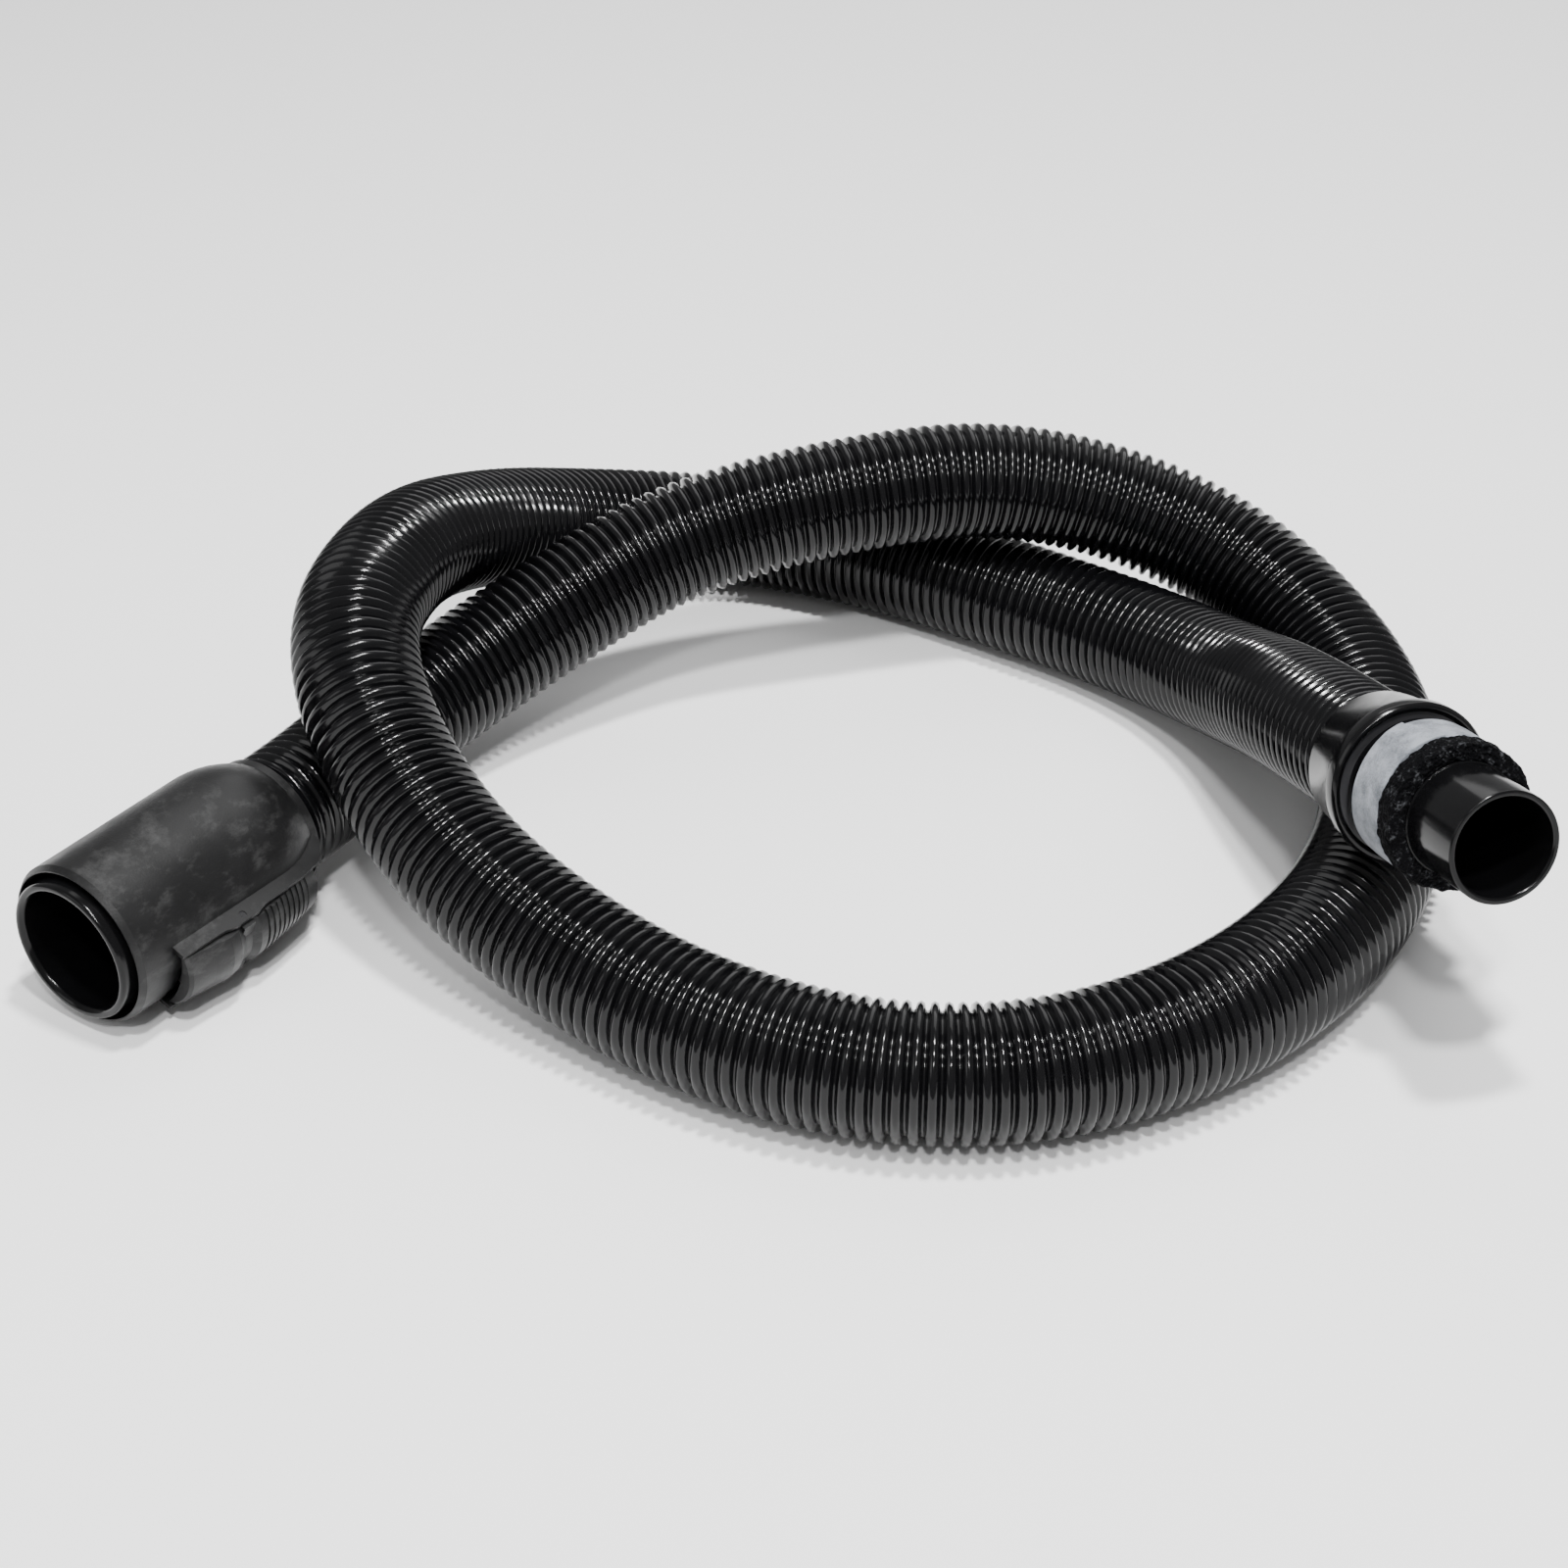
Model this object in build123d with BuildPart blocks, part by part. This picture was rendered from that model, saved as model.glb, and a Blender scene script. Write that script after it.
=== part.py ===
"""A 1.7 m corrugated vacuum hose that lies in two loose loops, with a latching machine
connector on one end and a slim swivel spigot with a foam gasket on the other.

Millimetres, +Z up, floor at Z = 0. The origin is the bottom centre of the box round the
two end fittings. +X runs from the machine connector to the tool fitting.
"""
from build123d import *
from math import cos, pi, radians, sin, tan
import os

# ---- hose -------------------------------------------------------------------------------
hose_od = 43.0
hose_bore = 36.0
hose_socket_gap = 0.1          # hose wall to the socket that it is screwed into
hose_start_clear = 13.5        # straight route beyond the sleeve
hose_r = hose_od / 2

# ---- machine connector: sizes along its axis count from the rim of the mouth -------------
machine_azimuth = 55.2         # degrees from +X, the way the hose leaves the connector
machine_mouth = (-212.3, -24.7, 28.3)      # as high as the sleeve is wide, so it lies on the floor
mouth_od = 47.5
mouth_bore = 41.0
mouth_length = 46.0
mouth_collar_from = 33.5       # thick rear part that is bonded into the sleeve
mouth_seal_length = 3.5
sleeve_front = 4.0             # the mouth stands this far out of the sleeve
sleeve_length = 84.0
sleeve_wall = 1.7
sleeve_flare = 0.6             # how much wider it is at the shoulder than in front
sleeve_shoulder = 22.0         # length of the rounded shoulder at the hose end
sleeve_neck_wall = 1.3
sleeve_edge = 1.3              # bevel on the front edge
bond_gap = 0.05                # between pieces that are bonded or pressed together
running_gap = 0.3              # between pieces that turn on each other
hose_hole_gap = 0.4            # hose to the hole it leaves the sleeve by

# ---- hose cuff inside the machine connector ----------------------------------------------
cuff_from = 52.0
cuff_length = 25.0
cuff_wall = 2.0
cuff_flange = 4.7
cuff_flange_rise = 2.4         # sleeve bore over the cuff behind its flange
cuff_stop_depth = 6.0          # from the cuff's front face to the end of the hose
cuff_stop_r = 18.5
ring_thickness = 2.0
ring_depth = 0.8               # how deep a retaining ring sits in its groove
ring_split = 24.0              # degrees
seal_wire_r = 1.05

# ---- latch on the machine connector --------------------------------------------------------
latch_angle = 22.0             # degrees below the horizontal
latch_half_width = 11.5
latch_front = 18.6
latch_rear = 77.5
latch_inner_rise = 1.5         # these rise from the widest part of the sleeve
latch_pad_rise = 7.9
latch_crown_r = 18.5           # roundness of its back, across
latch_front_rise = 5.1
latch_dip_rise = 5.6
latch_grip_rise = 7.3
latch_end_rise = 4.1
rail_gap = 0.4
rail_thickness = 1.5
rail_rise = 2.7                # measured square to the rails
pivot_along = 44.0
pivot_rise = 0.25
pin_r = 1.25
pin_gap = 0.05
pivot_boss_r = 2.4
boss_floor_wall = 1.0          # sleeve left under the pivot
boss_gap = 0.45                # boss to that floor
hook_along = 22.0
hook_length = 3.5
hook_half_width = 5.0
hook_bite = 1.0                # how far the hook reaches into the groove round the mouth
hook_window_gap = 1.0
hook_window_depth = 6.0
grip_groove_count = 9
grip_groove_pitch = 2.5
grip_groove_depth = 0.5
grip_groove_from = 52.0
pocket_floor_wall = 0.6        # sleeve left under the spring
spring_along = 66.0
spring_r = 3.4
spring_wire_r = 0.45
spring_turns = 2.5
spring_seat_depth = 1.7

# ---- tool fitting: sizes along its axis count from the front of the collar's lip ----------
tool_azimuth = -74.9           # degrees from +X, the way the spigot points
tool_tilt = 13.8               # degrees above the horizontal
tool_lip_at = (200.5, -1.0, 74.8)
collar_length = 25.0
collar_wall = 1.3
collar_flare = 1.9
collar_lip_rise = 1.3
collar_lip_length = 6.0
collar_cavity_wall = 2.0
collar_cavity_depth = 8.4
collar_stop = 1.6
collar_stop_r = 18.6
spigot_od = 35.0
spigot_wall = 2.0
spigot_reach = 58.7
spigot_stop_step = 0.4         # the foam sits on a slightly thicker stretch of the tube
spigot_stop_gap = 0.25
spigot_hub_r = 21.6
spigot_hub_from = 0.8
spigot_hub_to = 23.4
spigot_neck_r = 18.8
spigot_turn_gap = 0.4          # flange to the collar that it turns in
spigot_flange = 4.2
spigot_ring_thickness = 1.6
spigot_ring_clear = 0.4
felt_r = 23.1
felt_from = 6.0
foam_r = 23.3
foam_length = 8.5
foam_edge = 0.8

# ---- sizes that follow from those above -----------------------------------------------------
sleeve_rear = sleeve_front + sleeve_length
cuff_r = hose_r + hose_socket_gap + cuff_wall
sleeve_bore_r = cuff_r + cuff_flange_rise
sleeve_front_r = sleeve_bore_r + sleeve_wall
sleeve_rear_r = sleeve_front_r + sleeve_flare
sleeve_neck_r = hose_r + hose_hole_gap + sleeve_neck_wall
latch_inner_r = sleeve_rear_r + latch_inner_rise
latch_pad_r = sleeve_rear_r + latch_pad_rise
latch_front_r = sleeve_rear_r + latch_front_rise
latch_dip_r = sleeve_rear_r + latch_dip_rise
latch_grip_r = sleeve_rear_r + latch_grip_rise
latch_end_r = sleeve_rear_r + latch_end_rise
rail_top = sleeve_rear_r + rail_rise
pivot_out = sleeve_rear_r + pivot_rise
boss_floor_r = sleeve_bore_r + boss_floor_wall
pocket_floor_r = sleeve_bore_r + pocket_floor_wall
collar_rear_r = hose_r + hose_socket_gap + collar_wall
collar_front_r = collar_rear_r + collar_flare
collar_lip_r = collar_front_r + collar_lip_rise
collar_cavity_r = collar_front_r - collar_cavity_wall
spigot_bore = spigot_od - 2 * spigot_wall
spigot_flange_r = collar_cavity_r - spigot_turn_gap

# ---- frames ----------------------------------------------------------------------------------


def section_plane(origin, out, along):
    """A plane whose X is a radius and whose Y is the axis, for turned profiles."""
    return Plane(origin=origin, x_dir=out, z_dir=Vector(*out).cross(Vector(*along)))


def on_axis(origin, along, distance):
    return Vector(*origin) + Vector(*along) * distance


machine_along = (cos(radians(machine_azimuth)), sin(radians(machine_azimuth)), 0)
machine_side = (sin(radians(machine_azimuth)), -cos(radians(machine_azimuth)), 0)
machine_axis = Axis(machine_mouth, machine_along)
machine_section = section_plane(machine_mouth, machine_side, machine_along)

latch_out = (
    machine_side[0] * cos(radians(latch_angle)),
    machine_side[1] * cos(radians(latch_angle)),
    -sin(radians(latch_angle)),
)
latch_section = section_plane(machine_mouth, latch_out, machine_along)
latch_cross = Plane(origin=machine_mouth, x_dir=latch_out, z_dir=machine_along)

crown_axis_r = latch_pad_r - latch_crown_r
crown_axis = Axis(Vector(*machine_mouth) + Vector(*latch_out) * crown_axis_r, machine_along)

tool_along = (
    cos(radians(tool_azimuth)) * cos(radians(tool_tilt)),
    sin(radians(tool_azimuth)) * cos(radians(tool_tilt)),
    sin(radians(tool_tilt)),
)
tool_side = (-sin(radians(tool_azimuth)), cos(radians(tool_azimuth)), 0)
tool_axis = Axis(tool_lip_at, tool_along)
tool_section = section_plane(tool_lip_at, tool_side, tool_along)

os.makedirs("parts", exist_ok=True)

# ---- hose: one tube along straight runs and tangent arcs ------------------------------------
hose_end_at_machine = cuff_from + cuff_stop_depth
hose_end_at_tool = -(collar_cavity_depth + collar_stop)
hose_start_run = sleeve_rear + hose_start_clear - hose_end_at_machine
hose_end_run = 66.0
hose_route = [
    on_axis(machine_mouth, machine_along, hose_end_at_machine),
    on_axis(machine_mouth, machine_along, hose_end_at_machine + hose_start_run),
    Vector(-133.7, 101, 28),
    Vector(-107.7, 135, 32),
    Vector(-72.7, 162, 45),
    Vector(-31.7, 186, 60),
    Vector(26.3, 200, 71),
    Vector(95.3, 218, 71),
    Vector(168.3, 208.5, 50),
    Vector(212.3, 156.5, 27.5),
    Vector(216.3, 80, 21.5),
    Vector(191.3, 7, 21.5),
    Vector(142.3, -49, 21.5),
    Vector(80.3, -78, 21.5),
    Vector(16.3, -72, 21.5),
    Vector(-45.7, -33, 21.5),
    Vector(-105.7, 17, 42),
    Vector(-138.7, 78, 77),
    Vector(-127.7, 148, 77),
    Vector(-101.7, 207, 55),
    Vector(-67, 252, 32),
    Vector(-18, 269, 21.5),
    Vector(37, 251, 21.5),
    Vector(93, 215, 21.5),
    Vector(141, 178.5, 21.5),
    Vector(169.5, 132, 31),
    on_axis(tool_lip_at, tool_along, hose_end_at_tool - hose_end_run),
    on_axis(tool_lip_at, tool_along, hose_end_at_tool),
]


def corner_radii(points):
    """The radius of each corner: 0.45 of its shorter run over the tangent of half its turn."""
    radii = []
    for before, corner, after in zip(points, points[1:], points[2:]):
        run_in, run_out = corner - before, after - corner
        half_turn = radians(run_in.get_angle(run_out)) / 2
        radii.append(0.45 * min(run_in.length, run_out.length) / tan(half_turn))
    return radii


hose_radii = corner_radii(hose_route)
with BuildPart() as hose:
    with BuildLine() as hose_line:
        FilletPolyline(*hose_route, radius=hose_radii)
    with BuildSketch(Plane(origin=hose_route[0], x_dir=machine_side, z_dir=machine_along)):
        Circle(hose_r)
        Circle(hose_bore / 2, mode=Mode.SUBTRACT)
    sweep()
hose.part.label = "hose"
export_step(hose.part, "parts/hose.step")

hose_section = pi * (hose_r**2 - (hose_bore / 2) ** 2)
print("hose radii", [round(r) for r in hose_radii])
print("hose length", round(sum(e.length for e in hose_line.edges()), 1))
print("volume over section", round(hose.part.volume / hose_section, 1))

# ---- machine connector: outer sleeve -----------------------------------------------------------
shoulder_from = sleeve_rear - sleeve_shoulder
cuff_rear = cuff_from + cuff_length
cuff_flange_r = sleeve_bore_r - running_gap - bond_gap * 2
cuff_step = cuff_from + cuff_flange + running_gap
cuff_bore_r = cuff_r + running_gap
machine_ring_from = cuff_from - running_gap - ring_thickness
machine_ring_r = sleeve_bore_r + ring_depth
latch_slab = latch_half_width + rail_gap
rail_slab = latch_slab + rail_thickness

with BuildPart() as latch_channel:
    with BuildSketch(latch_section):
        with BuildLine():
            Polyline(
                (sleeve_front_r - 0.4, latch_front - 1.6),
                (latch_pad_r + 10, latch_front - 1.6),
                (latch_pad_r + 10, latch_rear + 0.8),
                (pocket_floor_r, latch_rear + 0.8),
                (pocket_floor_r, cuff_step),
                (machine_ring_r + 0.95, cuff_step),
                (machine_ring_r + 0.95, machine_ring_from - 1.3),
                (boss_floor_r, machine_ring_from - 1.3),
                (boss_floor_r, pivot_along - pivot_boss_r - 2),
                (sleeve_front_r - 0.4, pivot_along - pivot_boss_r - 2),
                close=True,
            )
        make_face()
    revolve(axis=machine_axis)
    with BuildSketch(latch_section):
        with Locations((sleeve_rear_r + 10, sleeve_rear / 2)):
            Rectangle(2 * sleeve_rear_r, 2 * sleeve_rear)
    extrude(amount=latch_slab, both=True, mode=Mode.INTERSECT)

with BuildPart() as connector_sleeve:
    with BuildSketch(machine_section):
        with BuildLine():
            Polyline(
                (0, sleeve_rear),
                (0, sleeve_front),
                (sleeve_front_r - sleeve_edge, sleeve_front),
                (sleeve_front_r, sleeve_front + sleeve_edge * 1.5),
                (sleeve_rear_r, shoulder_from),
            )
            ThreePointArc(
                (sleeve_rear_r, shoulder_from),
                (sleeve_rear_r - 1.1, shoulder_from + sleeve_shoulder * 0.42),
                (sleeve_neck_r, sleeve_rear - 3.0),
            )
            Polyline(
                (sleeve_neck_r, sleeve_rear - 3.0),
                (sleeve_neck_r, sleeve_rear),
                (0, sleeve_rear),
            )
        make_face()
    revolve(axis=machine_axis)
    with BuildSketch(latch_section):
        with BuildLine():
            Polyline(
                (sleeve_bore_r - 8, latch_front - 1.1),
                (rail_top - 1.8, latch_front - 1.1),
                (rail_top - 1.0, pivot_along - 9),
                (rail_top, pivot_along - 5),
                (rail_top, pivot_along + 5),
                (rail_top - 1.0, pivot_along + 9),
                (rail_top - 1.6, latch_rear - 6),
                (rail_top - 2.8, latch_rear + 2.0),
                (sleeve_neck_r - 1.0, sleeve_rear - 2.0),
                (sleeve_bore_r - 8, sleeve_rear - 2.0),
                close=True,
            )
        make_face()
    extrude(amount=rail_slab, both=True)
    add(latch_channel.part, mode=Mode.SUBTRACT)
    with BuildSketch(machine_section):
        with BuildLine():
            Polyline(
                (0, sleeve_front - 1),
                (sleeve_bore_r, sleeve_front - 1),
                (sleeve_bore_r, machine_ring_from - bond_gap),
                (machine_ring_r + bond_gap, machine_ring_from - bond_gap),
                (machine_ring_r + bond_gap, machine_ring_from + ring_thickness + bond_gap),
                (sleeve_bore_r, machine_ring_from + ring_thickness + bond_gap),
                (sleeve_bore_r, cuff_step),
                (cuff_bore_r, cuff_step),
                (cuff_bore_r, cuff_rear + 2),
                (hose_r + hose_hole_gap, cuff_rear + 2),
                (hose_r + hose_hole_gap, sleeve_rear + 1),
                (0, sleeve_rear + 1),
                close=True,
            )
        make_face()
    revolve(axis=machine_axis, mode=Mode.SUBTRACT)
    with BuildSketch(latch_section):
        with Locations((sleeve_bore_r, hook_along + hook_length / 2)):
            Rectangle(2 * hook_window_depth, hook_length + 2 * hook_window_gap)
    extrude(amount=hook_half_width + hook_window_gap, both=True, mode=Mode.SUBTRACT)
    with BuildSketch(latch_section):
        with Locations((pivot_out, pivot_along)):
            Circle(pin_r + pin_gap)
    extrude(amount=rail_slab + 1, both=True, mode=Mode.SUBTRACT)
connector_sleeve.part.label = "connector_sleeve"
export_step(connector_sleeve.part, "parts/connector_sleeve.step")

# ---- machine connector: mouth tube and its seal --------------------------------------------------
mouth_collar_r = sleeve_bore_r - bond_gap
with BuildPart() as mouth_tube:
    with BuildSketch(machine_section):
        with BuildLine():
            Polyline(
                (mouth_bore / 2 + 0.9, 0),
                (mouth_od / 2 - 0.6, 0),
                (mouth_od / 2, 0.6),
                (mouth_od / 2, mouth_collar_from),
                (mouth_collar_r, mouth_collar_from),
                (mouth_collar_r, mouth_length),
                (mouth_bore / 2, mouth_length),
                (mouth_bore / 2, 1.8),
                close=True,
            )
        make_face()
    revolve(axis=machine_axis)
mouth_tube.part.label = "mouth_tube"
export_step(mouth_tube.part, "parts/mouth_tube.step")

seal_from = mouth_collar_from - mouth_seal_length
with BuildPart() as mouth_seal:
    with BuildSketch(machine_section):
        with BuildLine():
            Polyline(
                (mouth_od / 2 + bond_gap, seal_from + 1.2),
                (mouth_od / 2 + 0.7, seal_from),
                (sleeve_bore_r - 0.7, seal_from),
                (sleeve_bore_r - bond_gap, seal_from + 1.2),
                (sleeve_bore_r - bond_gap, mouth_collar_from),
                (mouth_od / 2 + bond_gap, mouth_collar_from),
                close=True,
            )
        make_face()
    revolve(axis=machine_axis)
mouth_seal.part.label = "mouth_seal"
export_step(mouth_seal.part, "parts/mouth_seal.step")

# ---- hose cuff, its swivel seal and retaining ring -------------------------------------------------
cuff_groove_middle = cuff_from + cuff_flange / 2
cuff_groove_r = cuff_flange_r - 2 * seal_wire_r
cuff_groove_half = seal_wire_r + bond_gap
with BuildPart() as hose_cuff:
    with BuildSketch(machine_section):
        with BuildLine():
            Polyline(
                (cuff_stop_r, cuff_from),
                (cuff_flange_r, cuff_from),
                (cuff_flange_r, cuff_groove_middle - cuff_groove_half),
                (cuff_groove_r, cuff_groove_middle - cuff_groove_half),
                (cuff_groove_r, cuff_groove_middle + cuff_groove_half),
                (cuff_flange_r, cuff_groove_middle + cuff_groove_half),
                (cuff_flange_r, cuff_from + cuff_flange),
                (cuff_r, cuff_from + cuff_flange),
                (cuff_r, cuff_rear),
                (hose_r + hose_socket_gap, cuff_rear),
                (hose_r + hose_socket_gap, hose_end_at_machine),
                (cuff_stop_r, hose_end_at_machine),
                close=True,
            )
        make_face()
    revolve(axis=machine_axis)
hose_cuff.part.label = "hose_cuff"
export_step(hose_cuff.part, "parts/hose_cuff.step")

with BuildPart() as swivel_seal:
    with BuildSketch(machine_section):
        with Locations((cuff_groove_r + bond_gap + seal_wire_r, cuff_groove_middle)):
            Circle(seal_wire_r)
    revolve(axis=machine_axis)
swivel_seal.part.label = "swivel_seal"
export_step(swivel_seal.part, "parts/swivel_seal.step")

with BuildPart() as cuff_retaining_ring:
    with BuildSketch(machine_section):
        with Locations((machine_ring_r - ring_depth * 2.5, machine_ring_from + ring_thickness / 2)):
            Rectangle(ring_depth * 5, ring_thickness)
    revolve(axis=machine_axis, revolution_arc=360 - ring_split)
cuff_retaining_ring.part.label = "cuff_retaining_ring"
export_step(cuff_retaining_ring.part, "parts/cuff_retaining_ring.step")

# ---- latch lever, its pin and spring -----------------------------------------------------------------
with BuildPart() as latch_lever:
    with BuildSketch(latch_section):
        with BuildLine():
            Polyline(
                (crown_axis_r, latch_front),
                (latch_front_r, latch_front),
                (latch_front_r + 0.9, latch_front + 1.2),
                (latch_pad_r - 1.0, latch_front + 10),
                (latch_pad_r, latch_front + 17),
                (latch_pad_r - 0.4, latch_front + 21),
                (latch_dip_r, pivot_along - 0.8),
                (latch_dip_r, pivot_along + 2.0),
                (latch_grip_r, pivot_along + 4.5),
                (latch_grip_r - 0.2, pivot_along + 12),
                (latch_grip_r - 1.6, pivot_along + 24),
                (latch_end_r, latch_rear),
                (crown_axis_r, latch_rear),
                close=True,
            )
        make_face()
    revolve(axis=crown_axis)
    with BuildSketch(latch_section):
        with Locations((latch_pad_r, sleeve_rear / 2)):
            Rectangle(2 * latch_pad_r - 2, 2 * sleeve_rear)
    extrude(amount=latch_half_width, both=True, mode=Mode.INTERSECT)
    with BuildSketch(latch_cross):
        Circle(latch_inner_r)
    extrude(amount=sleeve_rear, mode=Mode.SUBTRACT)
    with BuildSketch(latch_section):
        with Locations((pivot_out, pivot_along)):
            Circle(pivot_boss_r)
            Rectangle(1.6 * pivot_boss_r, 2 * pivot_boss_r, align=(Align.MIN, Align.CENTER))
    extrude(amount=latch_half_width, both=True)
    with BuildSketch(latch_cross):
        Circle(boss_floor_r + boss_gap)
    extrude(amount=sleeve_rear, mode=Mode.SUBTRACT)
    with BuildSketch(latch_section):
        with Locations((sleeve_bore_r - hook_bite, hook_along)):
            Rectangle(latch_inner_r + 1 - sleeve_bore_r + hook_bite, hook_length,
                      align=(Align.MIN, Align.MIN))
    extrude(amount=hook_half_width, both=True)
    with BuildSketch(latch_section):
        with Locations((pivot_out, pivot_along)):
            Circle(pin_r + pin_gap)
    extrude(amount=latch_half_width + 1, both=True, mode=Mode.SUBTRACT)
    spring_seat = Plane(
        origin=on_axis(machine_mouth, machine_along, spring_along)
        + Vector(*latch_out) * (latch_inner_r - 1),
        z_dir=latch_out,
    )
    with BuildSketch(spring_seat):
        Circle(spring_r + spring_wire_r + 0.8)
    extrude(amount=1 + spring_seat_depth, mode=Mode.SUBTRACT)
    for groove in range(grip_groove_count):
        groove_at = grip_groove_from + groove * grip_groove_pitch
        groove_top = latch_grip_r - 0.2 - 1.4 * max(0, groove_at - pivot_along - 12) / 12
        with BuildSketch(latch_section):
            with Locations((groove_top + 1 - grip_groove_depth, groove_at)):
                Rectangle(2, grip_groove_pitch * 0.4)
        revolve(axis=crown_axis, mode=Mode.SUBTRACT)
latch_lever.part.label = "latch_lever"
export_step(latch_lever.part, "parts/latch_lever.step")

with BuildPart() as latch_pin:
    with BuildSketch(latch_section):
        with Locations((pivot_out, pivot_along)):
            Circle(pin_r)
    extrude(amount=rail_slab - 0.2, both=True)
latch_pin.part.label = "latch_pin"
export_step(latch_pin.part, "parts/latch_pin.step")

spring_foot = pocket_floor_r + spring_wire_r + bond_gap
spring_height = latch_inner_r + spring_seat_depth - bond_gap - spring_wire_r - spring_foot
with BuildPart() as latch_spring:
    with BuildLine():
        Helix(
            pitch=spring_height / spring_turns,
            height=spring_height,
            radius=spring_r,
            center=on_axis(machine_mouth, machine_along, spring_along)
            + Vector(*latch_out) * spring_foot,
            direction=latch_out,
        )
    with BuildSketch(Plane(origin=latch_spring.pending_edges[0] @ 0,
                           z_dir=latch_spring.pending_edges[0] % 0)):
        Circle(spring_wire_r)
    sweep(is_frenet=True)
latch_spring.part.label = "latch_spring"
export_step(latch_spring.part, "parts/latch_spring.step")

# ---- tool fitting: collar on the hose --------------------------------------------------------------------
tool_ring_front = -1.6
tool_ring_rear = tool_ring_front - spigot_ring_thickness
tool_ring_r = collar_cavity_r + ring_depth
with BuildPart() as tool_collar:
    with BuildSketch(tool_section):
        with BuildLine():
            Polyline(
                (hose_r + hose_socket_gap, -collar_length),
                (collar_rear_r - 0.4, -collar_length),
                (collar_rear_r, -collar_length + 0.6),
                (collar_front_r, -collar_lip_length - 2.0),
                (collar_lip_r - 0.4, -collar_lip_length),
                (collar_lip_r, -collar_lip_length + 0.8),
                (collar_lip_r, -1.4),
                (collar_lip_r - 1.0, 0),
                (collar_cavity_r + 1.2, 0),
                (collar_cavity_r, tool_ring_front + bond_gap),
                (tool_ring_r + bond_gap, tool_ring_front + bond_gap),
                (tool_ring_r + bond_gap, tool_ring_rear - bond_gap),
                (collar_cavity_r, tool_ring_rear - bond_gap),
                (collar_cavity_r, -collar_cavity_depth),
                (collar_stop_r, -collar_cavity_depth),
                (collar_stop_r, hose_end_at_tool),
                (hose_r + hose_socket_gap, hose_end_at_tool),
                close=True,
            )
        make_face()
    revolve(axis=tool_axis)
tool_collar.part.label = "tool_collar"
export_step(tool_collar.part, "parts/tool_collar.step")

# ---- spigot, its retaining ring and its seal ----------------------------------------------------
flange_front = tool_ring_rear - spigot_ring_clear
flange_rear = flange_front - spigot_flange
flange_middle = (flange_front + flange_rear) / 2
spigot_groove_r = spigot_flange_r - 2 * seal_wire_r
foam_seat_r = spigot_od / 2 + spigot_stop_step
foam_from = spigot_hub_to + bond_gap
with BuildPart() as spigot_tube:
    with BuildSketch(tool_section):
        with BuildLine():
            Polyline(
                (spigot_bore / 2, flange_rear),
                (spigot_flange_r, flange_rear),
                (spigot_flange_r, flange_middle - cuff_groove_half),
                (spigot_groove_r, flange_middle - cuff_groove_half),
                (spigot_groove_r, flange_middle + cuff_groove_half),
                (spigot_flange_r, flange_middle + cuff_groove_half),
                (spigot_flange_r, flange_front),
                (spigot_neck_r, flange_front),
                (spigot_neck_r, spigot_hub_from),
                (spigot_hub_r, spigot_hub_from),
                (spigot_hub_r, spigot_hub_to),
                (foam_seat_r, spigot_hub_to),
                (foam_seat_r, foam_from + foam_length + spigot_stop_gap),
                (spigot_od / 2, foam_from + foam_length + spigot_stop_gap),
                (spigot_od / 2, spigot_reach - 0.8),
                (spigot_od / 2 - 0.4, spigot_reach),
                (spigot_bore / 2 + 0.6, spigot_reach),
                (spigot_bore / 2, spigot_reach - 1.2),
                close=True,
            )
        make_face()
    revolve(axis=tool_axis)
spigot_tube.part.label = "spigot_tube"
export_step(spigot_tube.part, "parts/spigot_tube.step")

with BuildPart() as spigot_retaining_ring:
    with BuildSketch(tool_section):
        with Locations((tool_ring_r, tool_ring_rear)):
            Rectangle(tool_ring_r - spigot_neck_r - running_gap, spigot_ring_thickness,
                      align=(Align.MAX, Align.MIN))
    revolve(axis=tool_axis, revolution_arc=360 - ring_split)
spigot_retaining_ring.part.label = "spigot_retaining_ring"
export_step(spigot_retaining_ring.part, "parts/spigot_retaining_ring.step")

with BuildPart() as spigot_seal:
    with BuildSketch(tool_section):
        with Locations((spigot_groove_r + bond_gap + seal_wire_r, flange_middle)):
            Circle(seal_wire_r)
    revolve(axis=tool_axis)
spigot_seal.part.label = "spigot_seal"
export_step(spigot_seal.part, "parts/spigot_seal.step")

# ---- felt band and foam gasket on the spigot ----------------------------------------------------
with BuildPart() as felt_band:
    with BuildSketch(tool_section):
        with BuildLine():
            Polyline(
                (spigot_hub_r + bond_gap, felt_from),
                (felt_r - 0.3, felt_from),
                (felt_r, felt_from + 0.3),
                (felt_r, spigot_hub_to - bond_gap),
                (spigot_hub_r + bond_gap, spigot_hub_to - bond_gap),
                close=True,
            )
        make_face()
    revolve(axis=tool_axis)
felt_band.part.label = "felt_band"
export_step(felt_band.part, "parts/felt_band.step")

with BuildPart() as foam_gasket:
    with BuildSketch(tool_section):
        with BuildLine():
            Polyline(
                (foam_seat_r + bond_gap, foam_from),
                (foam_r - foam_edge, foam_from),
                (foam_r, foam_from + foam_edge),
                (foam_r, foam_from + foam_length - foam_edge),
                (foam_r - foam_edge, foam_from + foam_length),
                (foam_seat_r + bond_gap, foam_from + foam_length),
                close=True,
            )
        make_face()
    revolve(axis=tool_axis)
foam_gasket.part.label = "foam_gasket"
export_step(foam_gasket.part, "parts/foam_gasket.step")
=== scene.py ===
# A corrugated vacuum hose in two loose loops, with a latching machine connector on one end and
# a slim swivel spigot on the other. Metres, +Z up, floor at Z = 0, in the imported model's frame.
import bpy
from math import cos, radians, sin
from mathutils import Matrix, Vector


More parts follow.
